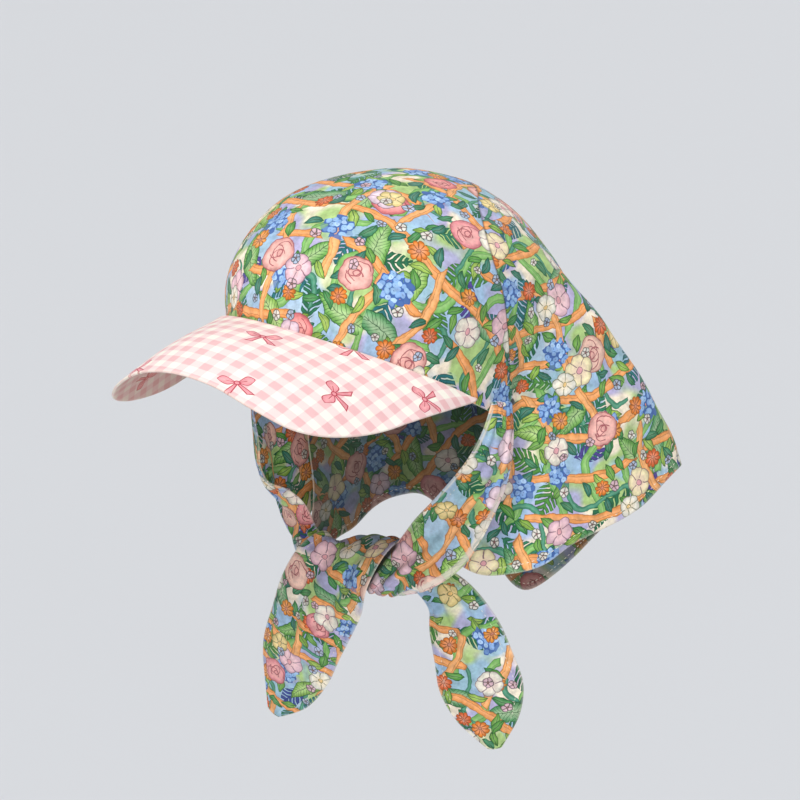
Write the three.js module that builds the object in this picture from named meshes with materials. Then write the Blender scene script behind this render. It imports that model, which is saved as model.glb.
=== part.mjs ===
// A visor headscarf cap, in millimetres: a printed cotton crown, a stiff gingham visor, a kerchief sewn to
// the crown's back seam, and two ties that cross under the chin in a half knot and hang down.
// The wearer looks along -Y, +X is the wearer's left and +Z is up. The origin is where the cap rests on the
// top of the head: the inner face of the crown at its highest point.
import * as THREE from "three";

const DEGREE = Math.PI / 180;

const CLOTH = 1.6; // wall of the hemmed cotton
const BOARD = 2.8; // stiff visor between its two gingham covers
const GAP = 0.7; // clearance between pieces that are sewn together

// The crown is a dome over an oval head: half width, half length, height above its widest line, how square
// its outline is (2 is an ellipse), the height of the wall below that line, and how much the wall draws in.
const DOME = { side: 86, front: 98, rise: 70, fullness: 2.13, wall: 60, tuck: 0.03 };

// The crown's front rim arches over the forehead: heights at the middle and at the visor's ends, and the
// angles, turned from the front, of those ends and of the ears, where the kerchief's seam starts.
const RIM = { middle: -68, visorEnd: -110, arch: 1.9, visorTurn: 76, ear: -121, earTurn: 87 };

// The back seam of the crown, from an ear up over the head: the angle from the front, and how far down the
// dome it lies (0 is the top, 1 the widest line).
const SEAM = [
  { turn: 94.7, fall: 1.87 },
  { turn: 93.5, fall: 1.4 },
  { turn: 92, fall: 1.1 },
  { turn: 90.5, fall: 0.87 },
  { turn: 90.5, fall: 0.68 },
  { turn: 97, fall: 0.51 },
  { turn: 112, fall: 0.39 },
  { turn: 145, fall: 0.335 },
  { turn: 180, fall: 0.325 },
];

// The kerchief's hem, from the wearer's left cheek round the back to the right cheek. flare is how far the
// cloth swings out of its straight way from seam to hem, and fold how deep the soft folds are there.
const HEM = [
  { x: 58, y: -18, z: -206, flare: 0.3, fold: 0 },
  { x: 72, y: -2, z: -220, flare: 0.4, fold: 0 },
  { x: 90, y: 14, z: -215, flare: 0.5, fold: 2 },
  { x: 107, y: 42, z: -196, flare: 0.6, fold: 3 },
  { x: 119, y: 84, z: -180, flare: 0.6, fold: 2 },
  { x: 120, y: 124, z: -171, flare: 0.58, fold: 0 },
  { x: 88, y: 140, z: -199, flare: 0.57, fold: 2 },
  { x: 40, y: 147, z: -246, flare: 0.6, fold: 3 },
  { x: -3, y: 134, z: -290, flare: 0.65, fold: 0 },
  { x: -28, y: 127, z: -270, flare: 0.7, fold: 3 },
  { x: -52, y: 116, z: -246, flare: 0.65, fold: 3 },
  { x: -70, y: 106, z: -235, flare: 0.6, fold: 3 },
  { x: -82, y: 93, z: -234, flare: 0.6, fold: 2 },
  { x: -86, y: 76, z: -240, flare: 0.55, fold: 2 },
  { x: -86, y: 54, z: -248, flare: 0.5, fold: 2 },
  { x: -84, y: 35, z: -252, flare: 0.45, fold: 1 },
  { x: -79, y: 15, z: -250, flare: 0.35, fold: 0 },
];
const FOLDS = 9; // soft folds round the hem
const EARLY = 1.25; // above 1, the kerchief's rows lie closer together near the seam
const CHEEK = 0.12; // share of the seam, at each ear, over which the kerchief leaves it ever more squarely
const EAR_FALL = { x: 0, y: 0.5, z: -1 }; // the way it leaves the seam at the ears: down and a little back
const SWING = { seam: 1.6, hem: 1.2 }; // how far the flare carries the cloth at its two ends
const SEAM_STEP = 0.01; // small step for reading the way that the seam and the dome run

// The visor's outer edge, from its middle to the end of its left side. The right side mirrors it, and then
// the worn visor sits a little askew: its left side that far back and up, its right side forward and down.
const VISOR_EDGE = [
  { x: 0, y: -165, z: -80 },
  { x: 27, y: -163, z: -84 },
  { x: 50, y: -157.5, z: -95 },
  { x: 67, y: -145, z: -107 },
  { x: 77, y: -124, z: -114 },
  { x: 84, y: -96, z: -116 },
  { x: 88, y: -62, z: -112 },
  { x: 86.5, y: -22, z: -109 },
];
// How far askew it sits, where along Y that starts and over what length it grows, how far the visor's middle
// stands above a straight line out, and the share of its thickness that its slope takes up at the rim.
const VISOR = { askew: 5.5, fadeFrom: -24, fadeOver: 60, swell: 4, tilt: 0.4 };

// Each tie, from the ear down the cheek, through the half knot under the chin and down its hanging tail: the
// middle of the band, the way its outer face looks, its width, how far its middle stands proud of its edges,
// how far its front edge rolls in beyond that, and how deep its pleats are. In the knot the right tie runs
// straight and the left one winds once round it.
const LEFT_TIE = [
  { x: 87.3, y: -1, z: -116, faceX: 1, faceY: -0.05, faceZ: 0.1, width: 15, bulge: 1, pleat: 0 },
  { x: 88.2, y: -5, z: -134, faceX: 1, faceY: -0.15, faceZ: 0.1, width: 23, bulge: 2, pleat: 0.5 },
  { x: 85, y: -11, z: -155, faceX: 0.95, faceY: -0.4, faceZ: 0.05, width: 29, bulge: 3, pleat: 1 },
  { x: 76, y: -20, z: -177, faceX: 0.8, faceY: -0.65, faceZ: 0, width: 34, bulge: 3, pleat: 1.4 },
  { x: 64, y: -27, z: -197, faceX: 0.6, faceY: -0.8, faceZ: 0.1, width: 37, bulge: 4, pleat: 1.4 },
  { x: 48, y: -32, z: -213, faceX: 0.3, faceY: -0.9, faceZ: 0.2, width: 32, bulge: 4, pleat: 1.4 },
  { x: 33, y: -32.5, z: -226, faceX: 0.15, faceY: -0.95, faceZ: -0.3, width: 24, bulge: 3, pleat: 1.2 },
  { x: 20, y: -28, z: -238.5, faceX: 0, faceY: -0.2, faceZ: -1, width: 20, bulge: 2, pleat: 1 },
  { x: 11, y: -9, z: -238, faceX: 0, faceY: 1, faceZ: -0.4, width: 18, bulge: 2, pleat: 1 },
  { x: 9, y: -7.5, z: -221, faceX: -0.1, faceY: 0.9, faceZ: 0.5, width: 28, bulge: 2, pleat: 1 },
  { x: 8, y: -20, z: -209.5, faceX: -0.22, faceY: -0.1, faceZ: 1, width: 42, bulge: 2, pleat: 1 },
  { x: 7, y: -40, z: -213.5, faceX: -0.25, faceY: -0.8, faceZ: 0.6, width: 56, bulge: 2, pleat: 1.2 },
  { x: -3, y: -47, z: -230, faceX: -0.05, faceY: -1, faceZ: 0.05, width: 58, bulge: 3, pleat: 1.4 },
  { x: -15, y: -48, z: -250, faceX: 0.1, faceY: -1, faceZ: 0, width: 57, bulge: 4, pleat: 1.2 },
  { x: -26, y: -47, z: -272, faceX: 0.15, faceY: -1, faceZ: 0, width: 53, bulge: 4, pleat: 0.9 },
  { x: -37, y: -45, z: -294, faceX: 0.2, faceY: -1, faceZ: 0, width: 49, bulge: 4, pleat: 0.6 },
  { x: -48, y: -42, z: -316, faceX: 0.2, faceY: -1, faceZ: 0, width: 35, bulge: 3, pleat: 0.3 },
  { x: -60, y: -40, z: -335, faceX: 0.2, faceY: -1, faceZ: 0, width: 9, bulge: 1, pleat: 0 },
];
const RIGHT_TIE = [
  { x: -86, y: -10, z: -116, faceX: -1, faceY: -0.1, faceZ: 0.1, width: 26, bulge: 1, roll: 1, pleat: 0 },
  { x: -91, y: -9, z: -138, faceX: -1, faceY: -0.15, faceZ: 0, width: 58, bulge: 3, roll: 8, pleat: 1 },
  { x: -92, y: -6, z: -162, faceX: -1, faceY: -0.15, faceZ: 0, width: 70, bulge: 4, roll: 14, pleat: 1.5 },
  { x: -89, y: -5, z: -186, faceX: -1, faceY: -0.15, faceZ: 0, width: 72, bulge: 4, roll: 13, pleat: 2 },
  { x: -83, y: -8, z: -208, faceX: -0.95, faceY: -0.3, faceZ: 0, width: 60, bulge: 4, roll: 9, pleat: 2 },
  { x: -65, y: -14, z: -225, faceX: -0.7, faceY: -0.7, faceZ: 0, width: 38, bulge: 4, roll: 4, pleat: 1.5 },
  { x: -40, y: -20, z: -229, faceX: -0.15, faceY: -1, faceZ: 0, width: 17, bulge: 4, roll: 0, pleat: 1 },
  { x: -12, y: -20, z: -226, faceX: 0, faceY: -1, faceZ: 0, width: 12, bulge: 4, roll: 0, pleat: 1 },
  { x: 12, y: -18.5, z: -225.5, faceX: 0, faceY: -1, faceZ: 0, width: 11, bulge: 4, roll: 0, pleat: 1 },
  { x: 38, y: -17, z: -227, faceX: 0.2, faceY: -1, faceZ: 0, width: 20, bulge: 4, roll: 0, pleat: 1.2 },
  { x: 57, y: -13, z: -236, faceX: 0.3, faceY: -1, faceZ: 0, width: 32, bulge: 3, roll: 0, pleat: 1.6 },
  { x: 66, y: -9, z: -253, faceX: 0.4, faceY: -0.9, faceZ: 0, width: 42, bulge: 3, roll: 0, pleat: 1.4 },
  { x: 71, y: -5, z: -273, faceX: 0.45, faceY: -0.9, faceZ: 0, width: 47, bulge: 3, roll: 0, pleat: 1 },
  { x: 73, y: 0, z: -293, faceX: 0.5, faceY: -0.85, faceZ: 0, width: 49, bulge: 3, roll: 0, pleat: 0.7 },
  { x: 75, y: 4, z: -313, faceX: 0.5, faceY: -0.85, faceZ: 0, width: 36, bulge: 3, roll: 0, pleat: 0.3 },
  { x: 77, y: 8, z: -331, faceX: 0.5, faceY: -0.85, faceZ: 0, width: 8, bulge: 1, roll: 0, pleat: 0 },
];
const PLEATS = 3; // lengthwise pleats across a tie

// A table read at t from 0 to 1, with every column drawn as one smooth curve through its rows.
function along(rows, t) {
  const span = THREE.MathUtils.clamp(t, 0, 1) * (rows.length - 1);
  const index = Math.min(Math.floor(span), rows.length - 2);
  const f = span - index;
  const row = (k) => rows[THREE.MathUtils.clamp(k, 0, rows.length - 1)];
  const read = {};
  for (const column of Object.keys(rows[0])) {
    const [a, b, c, d] = [-1, 0, 1, 2].map((step) => row(index + step)[column]);
    read[column] = b + 0.5 * f * (c - a + f * (2 * a - 5 * b + 4 * c - d + f * (3 * (b - c) + d - a)));
  }
  return read;
}

// A point of the crown's cloth: turn is the angle from the front, fall how far down the dome.
function dome(turn, fall) {
  const quarter = Math.min(fall, 1) * 90 * DEGREE;
  const below = Math.max(fall - 1, 0);
  const spread = Math.sin(quarter) ** (2 / DOME.fullness) * (1 - DOME.tuck * below * below);
  const depth = DOME.rise * (1 - Math.abs(Math.cos(quarter)) ** (2 / DOME.fullness)) + DOME.wall * below;
  return new THREE.Vector3(
    DOME.side * spread * Math.sin(turn * DEGREE),
    -DOME.front * spread * Math.cos(turn * DEGREE),
    CLOTH / 2 - depth,
  );
}

// How far down the dome a height lies.
function fallAt(height) {
  const depth = CLOTH / 2 - height;
  if (depth > DOME.rise) return 1 + (depth - DOME.rise) / DOME.wall;
  return Math.acos((1 - depth / DOME.rise) ** (DOME.fullness / 2)) / (90 * DEGREE);
}

// The height of the crown's front rim at an angle from the front.
function rimHeight(turn) {
  const away = Math.abs(turn);
  const atVisor = Math.min(away / RIM.visorTurn, 1) ** RIM.arch;
  const behind = Math.max(away - RIM.visorTurn, 0) / (RIM.earTurn - RIM.visorTurn);
  return RIM.middle + (RIM.visorEnd - RIM.middle) * atVisor + (RIM.ear - RIM.visorEnd) * behind;
}

// The back seam at t from 0, the left ear, over the head to 1, the right ear.
function seam(t) {
  const near = along(SEAM, 1 - Math.abs(1 - 2 * t));
  return { turn: t > 0.5 ? 360 - near.turn : near.turn, fall: near.fall };
}

// The crown: round runs from the left ear to the right one, and back from the front rim over the head to the
// back seam. Each line is drawn straight from rim to seam, then pushed out from inside the head to the dome.
function crownPoint(round, back) {
  const front = RIM.earTurn * (1 - 2 * round);
  const rim = dome(front, fallAt(rimHeight(front)));
  const edge = seam(round);
  const sewn = dome(edge.turn, edge.fall);
  const straight = rim.lerp(sewn, back);
  const x = straight.x / DOME.side;
  const y = -straight.y / DOME.front;
  const above = (straight.z - CLOTH / 2 + DOME.rise) / DOME.rise;
  const turn = Math.atan2(x, y) / DEGREE;
  const lean = Math.atan((Math.hypot(x, y) / Math.max(above, 0)) ** (DOME.fullness / 2)) / DEGREE;
  const fall = above > 0 ? lean / 90 : fallAt(straight.z);
  return dome(turn, fall);
}

// The kerchief, from the back seam to the hem: it leaves the seam square to it along the dome, or straight
// down at the ears, and hangs steeper and steeper.
function kerchiefPoint(round, down) {
  const { turn, fall } = seam(round);
  const sewn = dome(turn, fall);
  const ahead = seam(Math.min(round + SEAM_STEP, 1));
  const behind = seam(Math.max(round - SEAM_STEP, 0));
  const alongSeam = dome(ahead.turn, ahead.fall).sub(dome(behind.turn, behind.fall));
  const alongTurn = dome(turn + 1, fall).sub(dome(turn - 1, fall));
  const alongFall = dome(turn, fall + SEAM_STEP).sub(dome(turn, fall - SEAM_STEP));
  const away = alongTurn.cross(alongFall).cross(alongSeam).normalize();
  if (away.y < 0) away.negate();
  const start = sewn.addScaledVector(away, GAP);
  const fromEar = THREE.MathUtils.smoothstep(Math.min(round, 1 - round) / CHEEK, 0, 1);
  const leave = new THREE.Vector3(EAR_FALL.x, EAR_FALL.y, EAR_FALL.z).lerp(away, fromEar).normalize();

  const hem = along(HEM, round);
  const end = new THREE.Vector3(hem.x, hem.y, hem.z);
  const length = start.distanceTo(end);
  const hang = end.clone().sub(start).divideScalar(length).add(new THREE.Vector3(0, 0, -1)).normalize();
  const d = down ** EARLY;
  const outward = new THREE.Vector3(hem.x, hem.y, 0).normalize();
  const wave = Math.sin(2 * Math.PI * FOLDS * round);
  return start
    .lerp(end, d * d * (3 - 2 * d))
    .addScaledVector(leave, SWING.seam * hem.flare * length * d * (1 - d) * (1 - d))
    .addScaledVector(hang, -SWING.hem * hem.flare * length * d * d * (1 - d))
    .addScaledVector(outward, hem.fold * wave * d * Math.sqrt(d));
}

// The visor's whole outer edge, from its right end to its left, before it is set askew.
const visorEdge = [
  ...VISOR_EDGE.slice(1).reverse().map((row) => ({ ...row, x: -row.x })),
  ...VISOR_EDGE,
];

// The visor: across runs from its right end (0) to its left (1), and out from the rim to the outer edge.
function visorPoint(across, out) {
  const turn = RIM.visorTurn * (2 * across - 1);
  const clear = 1 + (CLOTH / 2 + GAP + VISOR.tilt * BOARD) / DOME.side;
  const inner = dome(turn, fallAt(rimHeight(turn)));
  inner.set(inner.x * clear, inner.y * clear, inner.z + BOARD / 2);
  const edge = along(visorEdge, across);
  const free = THREE.MathUtils.clamp((VISOR.fadeFrom - edge.y) / VISOR.fadeOver, 0, 1);
  const askew = (VISOR.askew * free * edge.x) / DOME.side;
  const outer = new THREE.Vector3(edge.x, edge.y + askew, edge.z + askew);
  const point = inner.lerp(outer, out);
  point.z += VISOR.swell * Math.sin(Math.PI * out) * Math.sin(Math.PI * across);
  return point;
}

// A band of cloth read from a tie's table: length runs down the tie and across its width.
function bandPoint(rows, length, across) {
  const at = along(rows, length);
  const step = 0.5 / (rows.length - 1);
  const [before, after] = [along(rows, length - step), along(rows, length + step)];
  const way = new THREE.Vector3(after.x - before.x, after.y - before.y, after.z - before.z).normalize();
  const face = new THREE.Vector3(at.faceX, at.faceY, at.faceZ);
  const side = new THREE.Vector3().crossVectors(way, face).normalize();
  const proud = new THREE.Vector3().crossVectors(side, way).normalize();
  const s = 2 * across - 1;
  const pleat = at.pleat * Math.cos(Math.PI * PLEATS * s) * (1 - s * s);
  const roll = (at.roll ?? 0) * Math.max(-s, 0) ** 3;
  return new THREE.Vector3(at.x, at.y, at.z)
    .addScaledVector(side, 0.5 * at.width * s)
    .addScaledVector(proud, at.bulge * (1 / 3 - s * s) - roll + pleat);
}

// A sheet of cloth with a wall of even thickness, round its middle surface point(u, v) with u and v from 0
// to 1.
function sheet(name, material, thickness, columns, rows, point) {
  const index = (i, j) => i * (rows + 1) + j;
  const middle = [];
  for (let i = 0; i <= columns; i++) {
    for (let j = 0; j <= rows; j++) middle.push(point(i / columns, j / rows));
  }
  const quads = [];
  for (let i = 0; i < columns; i++) {
    for (let j = 0; j < rows; j++) {
      quads.push([index(i, j), index(i + 1, j), index(i + 1, j + 1), index(i, j + 1)]);
    }
  }
  const normals = middle.map(() => new THREE.Vector3());
  for (const [a, b, c, d] of quads) {
    const across = middle[c].clone().sub(middle[a]);
    const face = across.cross(middle[d].clone().sub(middle[b]));
    for (const corner of [a, b, c, d]) normals[corner].add(face);
  }
  normals.forEach((normal) => normal.setLength(thickness / 2));

  const vertices = middle.map((p, k) => p.clone().add(normals[k]));
  vertices.push(...middle.map((p, k) => p.clone().sub(normals[k])));
  const under = middle.length;
  const triangles = [];
  const fill = (a, b, c, d) => triangles.push([a, b, c], [a, c, d]);
  for (const [a, b, c, d] of quads) {
    fill(a, b, c, d);
    fill(under + d, under + c, under + b, under + a);
  }
  const border = [];
  for (let i = 0; i < columns; i++) border.push(index(i, 0));
  for (let j = 0; j < rows; j++) border.push(index(columns, j));
  for (let i = columns; i > 0; i--) border.push(index(i, rows));
  for (let j = rows; j > 0; j--) border.push(index(0, j));
  border.forEach((a, k) => {
    const b = border[(k + 1) % border.length];
    fill(b, a, under + a, under + b);
  });

  const geometry = new THREE.BufferGeometry();
  const positions = vertices.flatMap((p) => p.toArray());
  geometry.setAttribute("position", new THREE.Float32BufferAttribute(positions, 3));
  geometry.setIndex(triangles.flat());
  geometry.computeVertexNormals();
  const mesh = new THREE.Mesh(geometry, material);
  mesh.name = name;
  return mesh;
}

const floral = new THREE.MeshStandardMaterial({ color: 0x9fb894, roughness: 0.85, metalness: 0 });
const gingham = new THREE.MeshStandardMaterial({ color: 0xf6dcdc, roughness: 0.85, metalness: 0 });

const cap = new THREE.Group();
cap.add(
  sheet("crown", floral, CLOTH, 48, 13, crownPoint),
  sheet("visor", gingham, BOARD, 28, 6, visorPoint),
  sheet("neck_kerchief", floral, CLOTH, 48, 15, kerchiefPoint),
  sheet("left_tie", floral, CLOTH, 68, 6, (u, v) => bandPoint(LEFT_TIE, u, v)),
  sheet("right_tie", floral, CLOTH, 60, 6, (u, v) => bandPoint(RIGHT_TIE, u, v)),
);

export default cap;
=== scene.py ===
# The looks of a visor headscarf cap, in metres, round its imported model: a printed cotton crown, a stiff
# gingham visor, a kerchief sewn to the crown's back seam, and two ties that cross in a half knot.
# The wearer looks along -Y, +X is the wearer's left and +Z is up. The origin is where the cap rests on the
# head.
import math

import bpy
import numpy as np
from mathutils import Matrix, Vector


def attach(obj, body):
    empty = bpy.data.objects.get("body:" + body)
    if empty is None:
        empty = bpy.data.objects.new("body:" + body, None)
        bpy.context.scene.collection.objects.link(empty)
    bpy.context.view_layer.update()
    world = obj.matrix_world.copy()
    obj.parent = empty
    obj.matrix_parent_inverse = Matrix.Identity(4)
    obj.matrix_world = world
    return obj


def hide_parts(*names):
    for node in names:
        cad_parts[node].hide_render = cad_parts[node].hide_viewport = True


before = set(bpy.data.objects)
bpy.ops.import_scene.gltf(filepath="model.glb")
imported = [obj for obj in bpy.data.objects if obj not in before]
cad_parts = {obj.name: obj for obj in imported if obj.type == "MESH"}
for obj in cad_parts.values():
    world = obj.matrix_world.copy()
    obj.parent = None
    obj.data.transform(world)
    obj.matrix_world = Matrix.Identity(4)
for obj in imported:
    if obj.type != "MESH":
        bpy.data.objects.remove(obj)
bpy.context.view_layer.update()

# Camera and stage.
AZIMUTH = 43.0  # degrees from straight ahead towards the wearer's left
ELEVATION = 17.0
LENS = 100.0
DISTANCE = 1.29
TARGET = Vector((0.0047, 0.0044, -0.132))
FLOOR = -0.9  # so far below the tails that its shadow falls outside the picture
FLOOR_REACH = 40.0
FLOOR_COLOUR = "d2d4d8"
SKY_COLOUR = (0.96, 0.98, 1.0, 1)

# Cloth walls.
FRAME_WALL = 0.0016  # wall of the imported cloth, whose middle surface the visible cloth shares
COTTON = 0.0010
GATHERED = 0.0006  # how much thicker a tie is where it is bunched up
BUNCHED_BELOW = 0.06  # the width at which that starts
BOARD = 0.0028
BOARD_EDGE = 0.0016  # the visor thins out to this at its outer edge
GAP = 0.0007  # between sewn pieces
HEM_TURN = 0.0045  # width of a hem, from the edge to its stitches
ALLOWANCE = 0.005  # cloth turned in behind a seam
# Rows of the turned-in cloth: how far on and how far in, as shares of ALLOWANCE.
TURN_IN = ((0.06, 0.05), (0.1, 0.16), (0.1, 0.5), (0.06, 1.0))
ROUND_EDGE = (45, 90, 135)  # degrees round a border, from the outer face on

# The dome over the head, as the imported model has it. At a fall of 1 its rounded part ends and its sides start.
SIDE, FRONT, RISE = 0.086, 0.098, 0.070  # half its width, half its length, and the rounded part's height
FULLNESS = 2.13  # 2 is an ellipse, and more is squarer
WALL, TUCK = 0.060, 0.03  # the sides' height for each unit of fall, and how much they draw in
RIM_MIDDLE, RIM_VISOR_END, RIM_EAR = -0.068, -0.110, -0.121  # heights of the front rim
VISOR_TURN, EAR_TURN = 76.0, 87.0  # degrees from straight ahead to where visor and rim end
RIM_ARCH = 1.9  # how late the rim falls away from its middle

# The kerchief's drape.
FOLDS = 9
EARLY = 1.25  # more than 1 keeps it near the seam for longer
CHEEK = 0.12  # share of the seam by each ear where the cloth turns to leave it in the way of EAR_FALL
EAR_FALL = (0.0, 0.5, -1.0)
SWING_SEAM, SWING_HEM = 1.6, 1.2  # how strongly it swings out below the seam, and hangs above the hem
SEAM_STEP = 0.01  # for measuring directions

# The visor's form.
ASKEW = 0.0055  # how much its left side sits up and back
FADE_FROM, FADE_OVER = -0.024, 0.060  # where that sets in, and over what depth
SWELL = 0.004  # how far its middle bulges up
TILT = 0.4  # room for its slope where it meets the crown, as a share of the board

# The ties.
PLEATS = 3  # broad lengthwise folds across a tie
STRAP = 0.4  # share of a tie's length that lies on the cheek
STRAP_LATE = 1.3  # more than 1 puts the strap's broadest place lower down

# Small folds, pale hems and painted shade that only the looks have.
CROWN_RIPPLE = (0.0005, 0.055)  # height, and distance between crests
KERCHIEF_RIPPLE = (0.0011, 0.060)
RIPPLE_WAVES = 5
GATHERS, GATHER_HEIGHT = 30, 0.0011  # puckers below the seam
GATHER_REACH = 0.09  # how far down they reach, as a share of the kerchief's drop
CREASES, CREASE_HEIGHT = 5, 0.0009  # fine lengthwise creases across a tie
WIDER = 0.013  # how much further back the right tie reaches on the cheek, over the kerchief
HEM_BACK, HEM_FRONT = 0.0042, 0.0018  # widths of the pale folded hems on the left tie's cheek part
# The hems' soft border, and how strongly both the pale hems and the painted shade in the knot's fold show on the
# left tie.
HEM_SOFT, HEM_AND_SHADE_STRENGTH = 0.0008, 1.7
FOLD_SHADE, FOLD_SOFT = 0.0034, 0.0016  # width of the painted shade in the fold where the left tie turns in the knot
FOLD_FROM, FOLD_TO, FOLD_FADE = 0.29, 0.43, 0.02  # where along the tie that is
SEAM_SHADE = 0.014  # width of the painted shade along the seam at the back, as a share of either cloth

# Steps of each grid of points in its first and second direction.
CROWN_GRID, VISOR_GRID, KERCHIEF_GRID = (144, 60), (128, 44), (240, 96)
LEFT_GRID, RIGHT_GRID = (260, 40), (240, 40)
COARSE = 3  # a grid is laid flat by every third line


def table(names, *rows):
    """A short table, read as one array for each named column."""
    return {name: np.array([row[k] for row in rows]) for k, name in enumerate(names.split())}


# The crown's back seam, from an ear to the top of the head: degrees from straight ahead, and fall.
SEAM = table(
    "turn fall",
    (94.7, 1.87),
    (93.5, 1.4),
    (92.0, 1.1),
    (90.5, 0.87),
    (90.5, 0.68),
    (97.0, 0.51),
    (112.0, 0.39),
    (145.0, 0.335),
    (180.0, 0.325),
)
# The kerchief's hem, from its left front corner to its right one: place, flare, and depth of the folds.
HEM = table(
    "x y z flare fold",
    (0.058, -0.018, -0.206, 0.3, 0.0),
    (0.072, -0.002, -0.220, 0.4, 0.0),
    (0.090, 0.014, -0.218, 0.5, 0.002),
    (0.107, 0.042, -0.206, 0.6, 0.003),
    (0.119, 0.084, -0.190, 0.6, 0.002),
    (0.120, 0.1235, -0.1745, 0.58, 0.0),
    (0.088, 0.140, -0.199, 0.57, 0.002),
    (0.040, 0.147, -0.246, 0.6, 0.003),
    (-0.003, 0.134, -0.290, 0.65, 0.0),
    (-0.028, 0.127, -0.270, 0.7, 0.003),
    (-0.052, 0.116, -0.246, 0.65, 0.003),
    (-0.070, 0.106, -0.235, 0.6, 0.003),
    (-0.082, 0.093, -0.234, 0.6, 0.002),
    (-0.086, 0.076, -0.240, 0.55, 0.002),
    (-0.086, 0.054, -0.248, 0.5, 0.002),
    (-0.084, 0.035, -0.252, 0.45, 0.001),
    (-0.079, 0.015, -0.250, 0.35, 0.0),
)
# The visor's outer edge, from its middle to its left end.
VISOR_EDGE = table(
    "x y z",
    (0.0, -0.165, -0.080),
    (0.027, -0.163, -0.084),
    (0.050, -0.1575, -0.095),
    (0.067, -0.145, -0.107),
    (0.077, -0.124, -0.114),
    (0.084, -0.096, -0.116),
    (0.088, -0.062, -0.112),
    (0.0865, -0.022, -0.109),
)
# Each tie from its ear to its tip: place, the way its outer face looks, width, and how far its middle bulges,
# its first edge rolls in and its pleats stand up.
LEFT_TIE = table(
    "x y z face_x face_y face_z width bulge pleat",
    (0.0873, -0.001, -0.116, 1.0, -0.05, 0.1, 0.015, 0.001, 0.0),
    (0.0882, -0.005, -0.134, 1.0, -0.15, 0.1, 0.023, 0.002, 0.0005),
    (0.085, -0.011, -0.155, 0.95, -0.4, 0.05, 0.029, 0.003, 0.001),
    (0.076, -0.020, -0.177, 0.8, -0.65, 0.0, 0.034, 0.003, 0.0014),
    (0.064, -0.027, -0.197, 0.6, -0.8, 0.1, 0.037, 0.004, 0.0014),
    (0.048, -0.032, -0.213, 0.3, -0.9, 0.2, 0.032, 0.004, 0.0014),
    (0.033, -0.0325, -0.226, 0.15, -0.95, -0.3, 0.024, 0.003, 0.0012),
    (0.020, -0.028, -0.2385, 0.0, -0.2, -1.0, 0.020, 0.002, 0.001),
    (0.011, -0.009, -0.238, 0.0, 1.0, -0.4, 0.018, 0.002, 0.001),
    (0.009, -0.0075, -0.221, -0.1, 0.9, 0.5, 0.028, 0.002, 0.001),
    (0.008, -0.020, -0.2095, -0.22, -0.1, 1.0, 0.042, 0.002, 0.001),
    (0.007, -0.040, -0.2135, -0.25, -0.8, 0.6, 0.056, 0.002, 0.0012),
    (-0.003, -0.047, -0.230, -0.05, -1.0, 0.05, 0.058, 0.003, 0.0014),
    (-0.015, -0.048, -0.250, 0.1, -1.0, 0.0, 0.057, 0.004, 0.0012),
    (-0.026, -0.047, -0.272, 0.15, -1.0, 0.0, 0.053, 0.004, 0.0009),
    (-0.037, -0.045, -0.294, 0.2, -1.0, 0.0, 0.049, 0.004, 0.0006),
    (-0.048, -0.042, -0.316, 0.2, -1.0, 0.0, 0.035, 0.003, 0.0003),
    (-0.060, -0.040, -0.335, 0.2, -1.0, 0.0, 0.009, 0.001, 0.0),
)
RIGHT_TIE = table(
    "x y z face_x face_y face_z width bulge roll pleat",
    (-0.086, -0.010, -0.116, -1.0, -0.1, 0.1, 0.026, 0.001, 0.001, 0.0),
    (-0.091, -0.009, -0.138, -1.0, -0.15, 0.0, 0.058, 0.003, 0.008, 0.001),
    (-0.092, -0.006, -0.162, -1.0, -0.15, 0.0, 0.070, 0.004, 0.014, 0.0015),
    (-0.089, -0.005, -0.186, -1.0, -0.15, 0.0, 0.072, 0.004, 0.013, 0.002),
    (-0.083, -0.008, -0.208, -0.95, -0.3, 0.0, 0.060, 0.004, 0.009, 0.002),
    (-0.065, -0.014, -0.225, -0.7, -0.7, 0.0, 0.038, 0.004, 0.004, 0.0015),
    (-0.040, -0.020, -0.229, -0.15, -1.0, 0.0, 0.017, 0.004, 0.0, 0.001),
    (-0.012, -0.020, -0.226, 0.0, -1.0, 0.0, 0.012, 0.004, 0.0, 0.001),
    (0.012, -0.0185, -0.2255, 0.0, -1.0, 0.0, 0.011, 0.004, 0.0, 0.001),
    (0.038, -0.017, -0.227, 0.2, -1.0, 0.0, 0.020, 0.004, 0.0, 0.0012),
    (0.057, -0.013, -0.236, 0.3, -1.0, 0.0, 0.032, 0.003, 0.0, 0.0016),
    (0.066, -0.009, -0.253, 0.4, -0.9, 0.0, 0.042, 0.003, 0.0, 0.0014),
    (0.071, -0.005, -0.273, 0.45, -0.9, 0.0, 0.047, 0.003, 0.0, 0.001),
    (0.073, 0.0, -0.293, 0.5, -0.85, 0.0, 0.049, 0.003, 0.0, 0.0007),
    (0.075, 0.004, -0.313, 0.5, -0.85, 0.0, 0.036, 0.003, 0.0, 0.0003),
    (0.077, 0.008, -0.331, 0.5, -0.85, 0.0, 0.008, 0.001, 0.0, 0.0),
)

# The print, in millimetres of cloth.
EDGE = 0.22  # softness of a printed edge
INK = 0.22  # half width of an ink line
INK_COLOUR, LEAF_INK = "36382e", "24502f"
POOL, POOL_REACH = 0.34, 2.6  # how much darker the paint pools inside an edge, and how far in
# Further in, the paper shows through: its colour and share, where it sets in and over what distance.
THIN_COLOUR, THIN_SHARE, THIN_FROM, THIN_REACH = "fff4de", 0.27, 0.15, 4.0
WOBBLE, WOBBLE_PITCH = 3.4, 9.0  # how far a hand-drawn line strays, and over what distance
BLOOM_PITCH, BLOOM_DEPTH = 5.0, 0.75  # blotches in the paint
GRAIN_PITCH, GRAIN_DEPTH = 1.6, 0.3
TONE = 1.24  # brightness of the paint before its blotches
SEED_STEP = (37.3, 61.7, 0)  # how far each seed moves a layer's grid of motifs
GONE = 60.0  # more than any motif's size
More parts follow.
